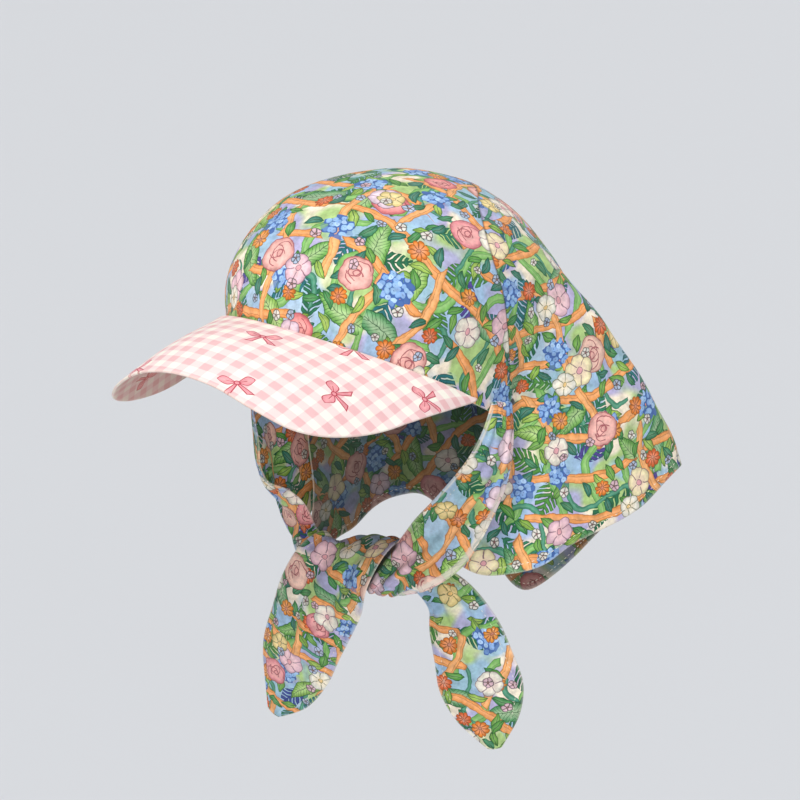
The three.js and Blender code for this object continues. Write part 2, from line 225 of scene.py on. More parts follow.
# A rose's inner petals: the middle of each and its reach, as shares of the rose's size.
ROSE_PETALS = ((0.22, 0.1, 0.62), (-0.2, 0.14, 0.5), (0.02, -0.24, 0.42), (0.05, 0.06, 0.2))
GROUND_COLOUR = "f3e6d0"
# Shades over the ground: each one's colour, and the height of noise at which it sets in.
GROUND_SHADES = (("9cc46c", 0.48), ("aea8d8", 0.53), ("9cc0dc", 0.55))
THREAD, WEAVE = 0.6, 0.06  # pitch of the weave's threads, and their height as a share of the crinkles
CRINKLE_PITCH = 8.0
# How each cloth lies on the print: its turn in degrees, then where its middle lies, in metres.
CROWN_LAY, KERCHIEF_LAY = (20, 0.0, 0.0), (-10, 0.0, 0.0)
LEFT_LAY, RIGHT_LAY = (80, -0.34, 0.30), (65, -0.17, 0.24)

# The gingham, in millimetres.
CHECK = 9.3  # from one pink stripe to the next
# Towards the visor's sides the checks close up and their rows curve back, by the square of the way there.
CHECK_MIDDLE, CHECK_CLOSE, CHECK_CURVE = 0.75, 33.0, 4.35
CHECK_COLOURS = ("fcf6ea", "f8dedb", "efc0c1")  # no stripe, one stripe, two stripes crossing
CHECK_SOFT, CHECK_WOBBLE = 0.25, 0.5  # softness of a stripe's edge, and how far it strays
BOW_INK, BOW_FILL = "b4203e", "f2a0a8"
LOOP_END, LOOP_HIGH, LOOP_SLOPE = 7.8, 2.7, 0.35
TAIL_END, TAIL_SLOPE, KNOT = 6.9, 0.7, 1.2
# Middle of each bow across the visor (0 to 1) and out from its rim (0 to 1), and its turn in degrees.
BOWS = (
    (0.565, 0.27, 25), (0.60, 0.88, 40), (0.745, 0.58, 115), (0.405, 0.92, 30), (0.902, 0.565, 150),
    (0.73, -0.02, 40), (0.33, 0.36, -30), (0.25, 0.76, 70), (0.16, 0.24, 10), (0.08, 0.66, -40),
)

# Cloth colours and finish, with shade painted into them.
FLORAL_INNER_SHADE = ("2c3226", 0.68)  # painted shade on the cloth's inner face: its dark tint, and how much of it
# Painted shade on the visor's underside, in a warm brown.
GINGHAM_INNER_SHADE = ("a6581c", 0.44)
EDGE_COLOUR, EDGE_SHARE = "f3eadb", 0.4
BORDER_PALE = 0.6  # paleness just inside the rounded edge, whose own is 1
PAINTED_SHADE_COLOUR, PAINTED_SHADE_SHARE = "16120c", 0.56  # painted shade in the fold deep in the knot and along the back seam

# Stitches of thread, in metres.
THREAD_COLOUR = "efe6d4"
STITCH_PITCH, STITCH_LENGTH, STITCH_RADIUS, STITCH_SIDES = 0.0032, 0.0022, 0.00018, 6
# A stitch's radius and its height over the cloth at places along it, as shares of STITCH_RADIUS.
STITCH_FORM = ((0.35, -0.9), (0.85, 0.1), (1.0, 0.4), (0.85, 0.1), (0.35, -0.9))

# Light: name, the way it comes from, how wide it is in degrees, and its strength.
WORLD_STRENGTH = 0.16
LIGHTS = (
    ("key", (0.1, -0.75, 1.4), 20, 2.65),
    ("fill", (1.2, -1.2, 0.3), 45, 1.5),
    ("back", (-0.3, 1.4, 0.8), 60, 0.5),
)


def along(rows, t):
    """A table read at t from 0 to 1, each column drawn as one smooth curve through its rows."""
    last = len(next(iter(rows.values()))) - 1
    span = np.clip(t, 0, 1) * last
    index = np.minimum(span.astype(int), last - 1)
    f = span - index
    read = {}
    for name, column in rows.items():
        a, b, c, d = (column[np.clip(index + step, 0, last)] for step in (-1, 0, 1, 2))
        read[name] = b + 0.5 * f * (c - a + f * (2 * a - 5 * b + 4 * c - d + f * (3 * (b - c) + d - a)))
    return read


def stack(*components):
    return np.stack(np.broadcast_arrays(*components), axis=-1)


def unit(vectors):
    return vectors / np.linalg.norm(vectors, axis=-1, keepdims=True)


def smooth(value):
    """A soft step from 0 to 1."""
    x = np.clip(value, 0, 1)
    return x * x * (3 - 2 * x)


def lerp(a, b, t):
    return a + (b - a) * t[..., None]


def ripple(points, pitch, seed):
    """A smooth wandering value, mostly between -1 and 1, over places in space: waves that run all ways."""
    total = 0
    for k in range(RIPPLE_WAVES):
        way = np.array((math.cos(2.4 * k + seed), math.sin(2.4 * k + seed), math.sin(1.7 * k + seed)))
        total = total + np.sin(points @ unit(way) * (math.tau / pitch) * (1 + 0.2 * k) + seed * (k + 1))
    return total / 3


def dome(turn, fall):
    """A point of the crown's cloth: turn is the angle from the front, fall how far down the dome."""
    quarter = np.radians(np.minimum(fall, 1) * 90)
    below = np.maximum(fall - 1, 0)
    spread = np.sin(quarter) ** (2 / FULLNESS) * (1 - TUCK * below**2)
    depth = RISE * (1 - np.abs(np.cos(quarter)) ** (2 / FULLNESS)) + WALL * below
    angle = np.radians(turn)
    return stack(SIDE * spread * np.sin(angle), -FRONT * spread * np.cos(angle), FRAME_WALL / 2 - depth)


def fall_at(height):
    """How far down the dome a height lies."""
    depth = FRAME_WALL / 2 - height
    above = np.clip(1 - depth / RISE, 0, 1)
    rounded = np.arccos(above ** (FULLNESS / 2)) / np.radians(90)
    return np.where(depth > RISE, 1 + (depth - RISE) / WALL, rounded)


def rim_height(turn):
    """The height of the crown's front rim at an angle from the front."""
    away = np.abs(turn)
    at_visor = np.minimum(away / VISOR_TURN, 1) ** RIM_ARCH
    behind = np.maximum(away - VISOR_TURN, 0) / (EAR_TURN - VISOR_TURN)
    return RIM_MIDDLE + (RIM_VISOR_END - RIM_MIDDLE) * at_visor + (RIM_EAR - RIM_VISOR_END) * behind


def seam(t):
    """The crown's back seam, from the left ear (0) over the head to the right ear (1)."""
    near = along(SEAM, 1 - np.abs(1 - 2 * t))
    return np.where(t > 0.5, 360 - near["turn"], near["turn"]), near["fall"]


def crown_surface(round_, back):
    """The crown, from the left ear to the right one and back from the front rim to the back seam."""
    front = EAR_TURN * (1 - 2 * round_)
    straight = lerp(dome(front, fall_at(rim_height(front))), dome(*seam(round_)), back)
    x = straight[..., 0] / SIDE
    y = -straight[..., 1] / FRONT
    above = (straight[..., 2] - FRAME_WALL / 2 + RISE) / RISE
    reach = np.hypot(x, y) / np.maximum(above, 1e-9)
    lean = np.degrees(np.arctan(reach ** (FULLNESS / 2))) / 90
    return dome(np.degrees(np.arctan2(x, y)), np.where(above > 0, lean, fall_at(straight[..., 2])))


def kerchief_surface(round_, down):
    """The kerchief, from the back seam to the hem."""
    turn, fall = seam(round_)
    before, after = np.maximum(round_ - SEAM_STEP, 0), np.minimum(round_ + SEAM_STEP, 1)
    along_seam = dome(*seam(after)) - dome(*seam(before))
    along_turn = dome(turn + 1, fall) - dome(turn - 1, fall)
    along_fall = dome(turn, fall + SEAM_STEP) - dome(turn, fall - SEAM_STEP)
    away = unit(np.cross(np.cross(along_turn, along_fall), along_seam))
    away *= np.where(away[..., 1:2] < 0, -1, 1)
    start = dome(turn, fall) + away * GAP
    from_ear = smooth(np.minimum(round_, 1 - round_) / CHEEK)
    leave = unit(lerp(np.array(EAR_FALL), away, from_ear))

    hem = along(HEM, round_)
    end = stack(hem["x"], hem["y"], hem["z"])
    length = np.linalg.norm(end - start, axis=-1, keepdims=True)
    hang = unit((end - start) / length + np.array((0, 0, -1)))
    outward = unit(stack(hem["x"], hem["y"], 0 * round_))
    wave = (hem["fold"] * np.sin(2 * np.pi * FOLDS * round_))[..., None]
    flare = hem["flare"][..., None] * length
    d = (down**EARLY)[..., None]
    return (
        start
        + (end - start) * d * d * (3 - 2 * d)
        + leave * SWING_SEAM * flare * d * (1 - d) ** 2
        - hang * SWING_HEM * flare * d * d * (1 - d)
        + outward * wave * d * np.sqrt(d)
    )


def mirrored(rows):
    """The visor's edge from its right end to its left, from the rows of its left half."""
    whole = {}
    for name, column in rows.items():
        whole[name] = np.concatenate([column[:0:-1] * (-1 if name == "x" else 1), column])
    return whole


def visor_surface(across, out):
    """The visor, from its right end to its left, and out from the rim to the outer edge."""
    turn = VISOR_TURN * (2 * across - 1)
    clear = 1 + (FRAME_WALL / 2 + GAP + TILT * BOARD) / SIDE
    inner = dome(turn, fall_at(rim_height(turn))) * np.array((clear, clear, 1)) + np.array((0, 0, BOARD / 2))
    edge = along(mirrored(VISOR_EDGE), across)
    free = np.clip((FADE_FROM - edge["y"]) / FADE_OVER, 0, 1)
    askew = ASKEW * free * edge["x"] / SIDE
    point = lerp(inner, stack(edge["x"], edge["y"] + askew, edge["z"] + askew), out)
    point[..., 2] += SWELL * np.sin(np.pi * out) * np.sin(np.pi * across)
    return point


def tie_surface(rows, length, across, wider):
    """A band of cloth read from a tie's table: length runs down the tie, and across over its width. wider is
    how much its second edge gains."""
    here = along(rows, length)
    step = 0.5 / (len(rows["x"]) - 1)
    before, after = along(rows, length - step), along(rows, length + step)
    way = unit(stack(*(after[axis] - before[axis] for axis in "xyz")))
    side = unit(np.cross(way, stack(here["face_x"], here["face_y"], here["face_z"])))
    proud = np.cross(side, way)
    s = 2 * across - 1
    pleat = here["pleat"] * np.cos(np.pi * PLEATS * s) * (1 - s * s)
    height = here["bulge"] * (1 / 3 - s * s) - here.get("roll", 0) * np.maximum(-s, 0) ** 3 + pleat
    middle = stack(here["x"], here["y"], here["z"])
    reach = 0.5 * here["width"] * s + wider * np.clip(s, 0, 1) ** 2
    return middle + side * reach[..., None] + proud * height[..., None]


def grid(columns, rows):
    """The two running values, from 0 to 1, of a grid of points."""
    return np.meshgrid(np.linspace(0, 1, columns + 1), np.linspace(0, 1, rows + 1), indexing="ij")


def normals_of(points):
    """The grid's own normals, from its first direction to its second."""
    return unit(np.cross(np.gradient(points, axis=0), np.gradient(points, axis=1)))


def quads_of(columns, rows):
    index = np.arange((columns + 1) * (rows + 1)).reshape(columns + 1, rows + 1)
    return np.stack([index[:-1, :-1], index[1:, :-1], index[1:, 1:], index[:-1, 1:]], axis=-1).reshape(-1, 4)


def raised(points, height):
    """The grid with each point moved that far against its own normal."""
    return points - normals_of(points) * height[..., None]


def turned_in(points, at_end, side=1):
    """The grid with its seam edge folded in behind. side is -1 where the grid's own normals look out."""
    rows = points if at_end else points[:, ::-1]
    inward = normals_of(points) * side
    inward = inward[:, -1] if at_end else inward[:, 0]
    onward = unit(rows[:, -1] - rows[:, -2])
    turn = [rows[:, -1] + onward * ahead * ALLOWANCE + inward * deep * ALLOWANCE for ahead, deep in TURN_IN]
    rows = np.concatenate([rows, np.stack(turn, axis=1)], axis=1)
    return rows if at_end else rows[:, ::-1]


def padded(values, axis, at_end):
    """The grid's values, with those along one edge repeated for the rows that turned_in adds there."""
    added = [(0, 0), (0, 0)]
    added[axis] = (0, len(TURN_IN)) if at_end else (len(TURN_IN), 0)
    return np.pad(values, added, mode="edge")


def border_of(columns, rows):
    """The grid's border, once round, as columns and rows."""
    bottom = [(i, 0) for i in range(columns)]
    right = [(columns, j) for j in range(rows)]
    top = [(i, rows) for i in range(columns, 0, -1)]
    left = [(0, j) for j in range(rows, 0, -1)]
    return np.array(bottom + right + top + left).T


def unwrapped(points):
    """Each point's place when the grid is flattened with little stretch, at a scale of its own."""
    mesh = bpy.data.meshes.new("flat")
    quads = quads_of(points.shape[0] - 1, points.shape[1] - 1)
    mesh.from_pydata(points.reshape(-1, 3).tolist(), [], quads.tolist())
    mesh.uv_layers.new(name="UVMap")
    piece = placed("flat", mesh)
    bpy.ops.object.select_all(action="DESELECT")
    piece.select_set(True)
    bpy.context.view_layer.objects.active = piece
    bpy.ops.object.mode_set(mode="EDIT")
    bpy.ops.mesh.select_all(action="SELECT")
    bpy.ops.uv.unwrap(method="MINIMUM_STRETCH")
    bpy.ops.object.mode_set(mode="OBJECT")
    flat = np.empty(2 * len(mesh.loops))
    mesh.uv_layers[0].uv.foreach_get("vector", flat)
    place = np.empty((len(mesh.vertices), 2))
    place[corners_of(mesh)] = flat.reshape(-1, 2)
    bpy.data.objects.remove(piece)
    bpy.data.meshes.remove(mesh)
    return place.reshape(*points.shape[:2], 2)


def corners_of(mesh):
    """The vertex at each corner of each face."""
    corners = np.empty(len(mesh.loops), int)
    mesh.loops.foreach_get("vertex_index", corners)
    return corners


def lengths(values):
    """The lengths of all lines of a grid, added up."""
    return sum(np.linalg.norm(np.diff(values, axis=axis), axis=-1).sum() for axis in (0, 1))


def laid_flat(points, lay):
    """Each point's place on the flat cloth, in metres. The grid's first direction runs along the flat cloth's
    width, then all of it is turned and moved as lay says."""
    size = points.shape[:2]
    kept = [np.linspace(0, count - 1, (count - 1) // COARSE + 1).round().astype(int) for count in size]
    coarse = points[np.ix_(*kept)]
    place = unwrapped(coarse)
    i, j = (place.shape[0] - 1) // 2, (place.shape[1] - 1) // 2
    way = place[i + 1, j] - place[i - 1, j]
    angle = math.radians(lay[0]) - math.atan2(way[1], way[0])
    c, s = math.cos(angle), math.sin(angle)
    scale = lengths(coarse) / lengths(place)
    place = (place - place[i, j]) * scale @ np.array(((c, s), (-s, c))) + lay[1:]
    whole = [np.interp(np.arange(count), lines, np.arange(len(lines))) for count, lines in zip(size, kept)]
    return at(place, *np.meshgrid(*whole, indexing="ij"))


def at(values, i, j):
    """A grid's values at columns and rows that may lie between its own."""
    i0 = np.clip(np.floor(i).astype(int), 0, values.shape[0] - 2)
    j0 = np.clip(np.floor(j).astype(int), 0, values.shape[1] - 2)
    a, b = values[i0, j0], values[i0 + 1, j0]
    c, d = values[i0, j0 + 1], values[i0 + 1, j0 + 1]
    return lerp(lerp(a, b, i - i0), lerp(c, d, i - i0), j - j0)


def placed(name, data):
    """A new object in the scene."""
    made = bpy.data.objects.new(name, data)
    bpy.context.collection.objects.link(made)
    return made


def linked(name, vertices, faces, material):
    """An object with smooth faces in one material."""
    mesh = bpy.data.meshes.new(name)
    mesh.from_pydata(vertices, [], faces)
    mesh.polygons.foreach_set("use_smooth", [True] * len(mesh.polygons))
    mesh.materials.append(material)
    return placed(name, mesh)


def written(mesh, name, values):
    """A value kept on each vertex under that name, for the material."""
    mesh.attributes.new(name, "FLOAT", "POINT").data.foreach_set("value", values.astype(np.float32))


def rounded_border(points, normals, half):
    """Lines of points round the grid's rounded border, from its outer face to its reverse."""
    columns, rows = points.shape[0] - 1, points.shape[1] - 1
    i, j = border_of(columns, rows)
    away = points[i, j] - points[np.clip(i, 1, columns - 1), np.clip(j, 1, rows - 1)]
    n = normals[i, j]
    away = unit(away - n * (away * n).sum(-1, keepdims=True))
    angles = np.radians(ROUND_EDGE)
    # Lines of points round the grid's rounded border, from its outer face to its inner face.
    return [points[i, j] + half[i, j] * (away * math.sin(a) + n * math.cos(a)) for a in angles]


def shell(name, points, thickness, material, place, inner_shade=1.0, pale=0.0, deep=0.0):
    """A sheet of cloth round its middle surface, with rounded edges. place is where each point lies on the flat
    cloth. The material reads three tints from the vertices: painted shade on the inner face and, half as strong,
    on the border, pale at the border and where pale says, and painted shade where deep says."""
    columns, rows = points.shape[0] - 1, points.shape[1] - 1
    half = np.broadcast_to(thickness, points.shape[:2])[..., None] / 2
    normals = -normals_of(points)
    rounds = rounded_border(points, normals, half)
    count = (columns + 1) * (rows + 1)
    i, j = border_of(columns, rows)
    top = i * (rows + 1) + j
    rings = [top, *(2 * count + len(i) * k + np.arange(len(i)) for k in range(len(rounds))), top + count]
    strips = [np.stack([a, np.roll(a, -1), np.roll(b, -1), b], axis=-1) for a, b in zip(rings, rings[1:])]
    quads = quads_of(columns, rows)
    outer, inner = (points + normals * half).reshape(-1, 3), (points - normals * half).reshape(-1, 3)
    vertices = np.concatenate([outer, inner, *rounds])
    faces = np.concatenate([quads[:, ::-1], quads + count, *strips])
    piece = linked(name, vertices.tolist(), faces.tolist(), material)

    def everywhere(values):
        """The grid's values for the vertices of both faces and of the border."""
        flat = values.reshape(count, *values.shape[2:])
        return np.concatenate([flat, flat, *[values[i, j]] * len(rounds)])

    mesh = piece.data
    # Painted shade: none on the outer face, full on the inner face, half on the rounded border.
    written(mesh, "inner_shade", np.repeat((0, inner_shade, inner_shade / 2), (count, count, len(rounds) * len(i))))
    edge = np.zeros(points.shape[:2]) + pale
    edge[i, j] = BORDER_PALE
    edge = everywhere(edge)
    edge[2 * count :] = 1
    written(mesh, "edge", edge)
    written(mesh, "deep", everywhere(np.zeros(points.shape[:2]) + deep))
    flat = everywhere(place)[corners_of(mesh)]
    mesh.uv_layers.new(name="UVMap").uv.foreach_set("vector", flat.astype(np.float32).ravel())
    return piece


def tube_faces(rings, sides):
    """The faces of a closed tube: its wall, then its two ends."""
    faces = []
    for low in range(0, (rings - 1) * sides, sides):
        for b in range(sides):
            c = (b + 1) % sides
            faces.append((low + b, low + c, low + sides + c, low + sides + b))
    faces.append(tuple(reversed(range(sides))))
    faces.append(tuple(range((rings - 1) * sides, rings * sides)))
    return faces


def stitched(name, seams, material):
    """Short stitches of thread along lines on the cloth. Each seam is a line of points and its normals."""
    pieces, faces = [], []
    around = np.linspace(0, math.tau, STITCH_SIDES, endpoint=False)
    radius, lift = STITCH_RADIUS * np.array(STITCH_FORM).T
    one_stitch = tube_faces(len(radius), STITCH_SIDES)
    for line, normals in seams:
        run = np.concatenate([[0], np.cumsum(np.linalg.norm(np.diff(line, axis=0), axis=1))])
        for start in np.arange(STITCH_PITCH, run[-1] - STITCH_PITCH, STITCH_PITCH):
            where = start + STITCH_LENGTH * np.linspace(0, 1, len(radius))
            spine = np.stack([np.interp(where, run, line[:, k]) for k in range(3)], axis=-1)
            n = unit(np.array([np.interp(start, run, normals[:, k]) for k in range(3)]))
            side = unit(np.cross(n, spine[-1] - spine[0]))
            ring = side * np.cos(around)[:, None] + n * np.sin(around)[:, None]
            body = (spine + n * lift[:, None])[:, None] + ring[None] * radius[:, None, None]
            first = len(pieces) * len(radius) * STITCH_SIDES
            faces += [tuple(first + corner for corner in face) for face in one_stitch]
            pieces.append(body.reshape(-1, 3))
    return linked(name, np.concatenate(pieces).tolist(), faces, material)


class Signal:
    """A number inside a node tree, with the usual arithmetic."""

    def __init__(self, paper, socket):
        self.paper = paper
        self.socket = socket

    def __add__(self, other):
        return self.paper.math("ADD", self, other)

    def __sub__(self, other):
        return self.paper.math("SUBTRACT", self, other)

    def __rsub__(self, other):
        return self.paper.math("SUBTRACT", other, self)

    def __mul__(self, other):
        return self.paper.math("MULTIPLY", self, other)

    def __truediv__(self, other):
        return self.paper.math("DIVIDE", self, other)

    def __abs__(self):
        return self.paper.math("ABSOLUTE", self)

    __radd__ = __add__
    __rmul__ = __mul__


class Paper:
    """A material's node tree, drawn on by calls."""

    def __init__(self, tree):
        self.tree = tree

    def node(self, kind, inputs=None, **settings):
        made = self.tree.nodes.new("ShaderNode" + kind)
        for name, value in settings.items():
            setattr(made, name, value)
        self.fill(made, inputs or {})
        return made

    def fill(self, made, inputs):
        """Links signals and sockets to a node's inputs, and sets plain values on them."""
        for key, value in inputs.items():
            if isinstance(value, Signal):
                value = value.socket
            if isinstance(value, bpy.types.NodeSocket):
                self.tree.links.new(value, made.inputs[key])
            else:
                made.inputs[key].default_value = value

    def math(self, operation, *values, clamp=False):
        made = self.node("Math", dict(enumerate(values)), operation=operation, use_clamp=clamp)
        return Signal(self, made.outputs[0])

    def vector(self, operation, *values):
        return self.node("VectorMath", dict(enumerate(values)), operation=operation).outputs[0]

    def length(self, vector):
        return Signal(self, self.node("VectorMath", {0: vector}, operation="LENGTH").outputs["Value"])

    def scale(self, vector, amount):
        if isinstance(vector, tuple):
            vector = vector[:3]
        return self.node("VectorMath", {0: vector, "Scale": amount}, operation="SCALE").outputs[0]

    def split(self, vector):
        parts = self.node("SeparateXYZ", {0: vector}).outputs
        return [Signal(self, parts[k]) for k in range(3)]

    def mix(self, amount, first, second):
        return self.node("Mix", {0: amount, 6: first, 7: second}, data_type="RGBA").outputs[2]

    def attribute(self, name):
        return Signal(self, self.node("Attribute", attribute_name=name).outputs["Fac"])

    def noise(self, place, pitch, detail):
        """Soft noise with that many millimetres between its hills, as a number and as three."""
        inputs = {"Vector": place, "Scale": 1 / pitch, "Detail": detail}
        made = self.node("TexNoise", inputs, noise_dimensions="2D")
        return Signal(self, made.outputs["Fac"]), made.outputs["Color"]

    def cells(self, place, spacing, jitter):
        """A loose grid of cells: the middle of the nearest one, and three numbers that are its own."""
        inputs = {"Vector": place, "Scale": 1 / spacing, "Randomness": jitter}
        made = self.node("TexVoronoi", inputs, voronoi_dimensions="2D")
        return made.outputs["Position"], self.split(made.outputs["Color"])

    def turned(self, vector, angle):
        inputs = {"Vector": vector, "Angle": angle}
        return self.node("VectorRotate", inputs, rotation_type="Z_AXIS").outputs[0]

    def step(self, value, at, softness):
        """0 below at and 1 above it, over that width."""
        return self.math("MULTIPLY_ADD", value, 1 / softness, 0.5 - at / softness, clamp=True)

    def palette(self, value, colours):
        """One of the colours, in even shares of value from 0 to 1."""
        made = self.node("ValToRGB", {0: value})
        ramp = made.color_ramp
        ramp.interpolation = "CONSTANT"
        for k, colour in enumerate(colours):
            element = ramp.elements[k] if k < 2 else ramp.elements.new(k / len(colours))
            element.position = k / len(colours)
            element.color = linear(colour)
        return made.outputs[0]


def linear(text):
    """A colour written as rrggbb, as Blender's linear values."""
    channels = [int(text[k : k + 2], 16) / 255 for k in (0, 2, 4)]
    return (*((c / 12.92 if c <= 0.04045 else ((c + 0.055) / 1.055) ** 2.4) for c in channels), 1)


def least(first, *others):
    for other in others:
        first = first.paper.math("MINIMUM", first, other)
    return first


def most(first, *others):
    for other in others:
        first = first.paper.math("MAXIMUM", first, other)
    return first


class Print:
    """A watercolour print with ink outlines, drawn from the ground up. All lengths are in millimetres."""

    def __init__(self, paper, place, wobble=WOBBLE):
        self.paper = paper
        _, stray = paper.noise(place, WOBBLE_PITCH, 3.0)
        centred = paper.vector("SUBTRACT", stray, (0.5, 0.5, 0.5))
        self.place = paper.vector("ADD", place, paper.scale(centred, wobble))
        bloom, _ = paper.noise(place, BLOOM_PITCH, 3.0)
        grains, _ = paper.noise(place, GRAIN_PITCH, 2.0)
        self.glow = paper.math("MULTIPLY_ADD", bloom, -BLOOM_DEPTH, TONE) + grains * GRAIN_DEPTH
        self.colour = None

    def moved(self, seed):
        """The place on the cloth, moved as the seed says."""
        return self.paper.vector("ADD", self.place, tuple(seed * step for step in SEED_STEP))

    def scatter(self, spacing, seed, share, low, high, colours, jitter=0.75):
        """One motif in each cell of a loose grid, turned at random: the place from its middle, its size and
        its fill. Only a share of the cells has one, from low to high in size."""
        moved = self.moved(seed)
        middle, numbers = self.paper.cells(moved, spacing, jitter)
        offset = self.paper.vector("SUBTRACT", moved, middle)
        x, y, _ = self.paper.split(self.paper.turned(offset, numbers[0] * math.tau))
        size = size_of(self.paper, numbers[1], share, low, high)
        return x, y, size, self.paper.palette(numbers[2], colours)

    def lay(self, shape, fill, lines=None, ink=INK_COLOUR, pool=POOL, ink_share=0.9):
        """Prints a shape, given as millimetres inside its border: its fill, darker towards the border, its
        inner lines and its outline."""
        paper = self.paper
        near_edge = paper.math("MULTIPLY_ADD", shape, -1 / POOL_REACH, 1.0, clamp=True)
        thin = paper.math("MULTIPLY_ADD", shape, 1 / THIN_REACH, -THIN_FROM, clamp=True)
        body = paper.mix(thin * THIN_SHARE, fill, linear(THIN_COLOUR))
        body = paper.scale(body, paper.math("MULTIPLY_ADD", near_edge, -pool, self.glow))
        drawn = INK - shape
        if lines is not None:
            drawn = most(drawn, lines)
        body = paper.mix(paper.step(drawn, 0, EDGE) * ink_share, body, linear(ink))
        self.colour = paper.mix(paper.step(shape, -INK, EDGE), self.colour, body)


def size_of(paper, number, share, low, high):
    """The size of a motif from its number: from low to high over the share, and below zero otherwise."""
    made = paper.node("MapRange", {"Value": number, 1: 1 - share, 2: 1.0, 3: low, 4: high})
    return Signal(paper, made.outputs[0]) - paper.math("LESS_THAN", number, 1 - share) * GONE


def blushed(paper, fill, heart, r, size, depth, reach):
    """The fill, mixed with the heart's colour towards the middle."""
    return paper.mix(paper.math("MULTIPLY_ADD", r / size, -depth, reach, clamp=True), fill, linear(heart))


# In each motif, spread is its spacing, seed, share, least and greatest size, and colours, as scatter takes
# them. Numbers without a name are shares of the motif's size, or half widths of its inner lines.
def blossom(pic, spread, petals, cut, heart, ink=INK_COLOUR):
    """Open flowers with round petals, cut in between by that share of their size, and a heart."""
    paper = pic.paper
    x, y, size, fill = pic.scatter(*spread)
    r = paper.math("SQRT", x * x + y * y)
    lobe = abs(paper.math("COSINE", paper.math("ARCTAN2", y, x) * (petals / 2)))
    rim = size * paper.math("MULTIPLY_ADD", paper.math("SQRT", lobe), cut, 1 - cut)
    parted = least(0.26 - lobe * r * (2 / petals), r - size * 0.3)
    core = size * 0.2 - r
    fill = blushed(paper, fill, heart, r, size, 0.7, 0.5)
    fill = paper.mix(paper.step(core, 0, EDGE), fill, linear(heart))
    ring = 0.2 - abs(core)
    pic.lay(rim - r, fill, most(parted, ring), ink)


def rose(pic, spread, heart, ink):
    """Cupped flowers whose petals fold over each other."""
    paper = pic.paper
    x, y, size, fill = pic.scatter(*spread)
    r = paper.math("SQRT", x * x + y * y)
    fill = blushed(paper, fill, heart, r, size, 0.8, 0.6)
    lines = None
    for dx, dy, reach in ROSE_PETALS:
        px = x - size * dx
        py = y - size * dy
        ring = 0.28 - abs(paper.math("SQRT", px * px + py * py) - size * reach)
        ring = least(ring, py * (1 if dy < 0 else -1) + size * 0.25)
        lines = ring if lines is None else most(lines, ring)
    pic.lay(size - r, fill, lines, ink)


def leaves(pic, spread, slim, veins=0.0):
    """Curved, pointed leaves with a midrib, and side veins that many millimetres apart."""
    paper = pic.paper
    x, y, size, fill = pic.scatter(*spread, jitter=0.8)
    side = abs(y + (x * x) / size * 0.18)
    run = x / size
    lines = 0.2 - side
    if veins:
        slanted = abs(x) - side * 0.9
        comb = abs(paper.math("PINGPONG", slanted, veins / 2) - veins / 4)
        lines = most(lines, 0.17 - comb)
    pic.lay(size * slim * (1 - run * run) - side, fill, lines, LEAF_INK)


def sprigs(pic, spread, pitch, ink):
    """Feathery sprigs: a curved stem with slim leaflets along both sides, a pitch apart."""
    paper = pic.paper
    x, y, size, fill = pic.scatter(*spread)
    side = abs(y + (x * x) / size * 0.3)
    run = x / size
    reach = size * 0.46 * (1 - run * run) - side
    comb = paper.math("PINGPONG", x - side * 0.8, pitch / 2)
    stem = least(0.4 - side, size - abs(x))
    shape = most(least(comb * 0.8 - pitch * 0.17, reach), stem)
    pic.lay(shape, fill, None, ink, ink_share=0.6)


def clusters(pic, spacing, seed, share, reach, bead, colours, ink):
    """Round heads of many small florets, each as wide as a bead."""
    paper = pic.paper
    moved = pic.moved(seed)
    floret, own = paper.cells(moved, bead, 0.75)
    middle, numbers = paper.cells(floret, spacing, 0.8)
    away = paper.length(paper.vector("SUBTRACT", floret, middle))
    member = size_of(paper, numbers[1], share, reach * 0.75, reach) - away
    r = paper.length(paper.vector("SUBTRACT", moved, floret))
    shade = paper.mix(paper.step(bead * 0.5 - r, 0, EDGE), linear(ink), paper.palette(own[0], colours))
    pic.lay(least(member, bead * 0.72 - r), shade, 0.28 - r, ink, 0.0)


def ribbons(pic, angle, period, width, swing, wave, seed, colour, ink, share):
    """Long waving ribbons, one in each period, which come and go so that a share of them is left."""
    paper = pic.paper
    x, y, _ = paper.split(paper.turned(pic.place, angle))
    bend = paper.math("SINE", x * (math.tau / wave) + seed) * swing
    across = paper.math("PINGPONG", y + bend + seed * 13.0, period / 2) - period / 4
    patch, _ = paper.noise(paper.vector("ADD", pic.place, (seed * 91.0, 0, 0)), 46.0, 0.0)
    shape = least(width / 2 - abs(across), (patch - (1 - share)) * 60.0)
    grain = 0.14 - abs(across - 0.9)
    pic.lay(shape, linear(colour), grain, ink, 0.1, 0.6)


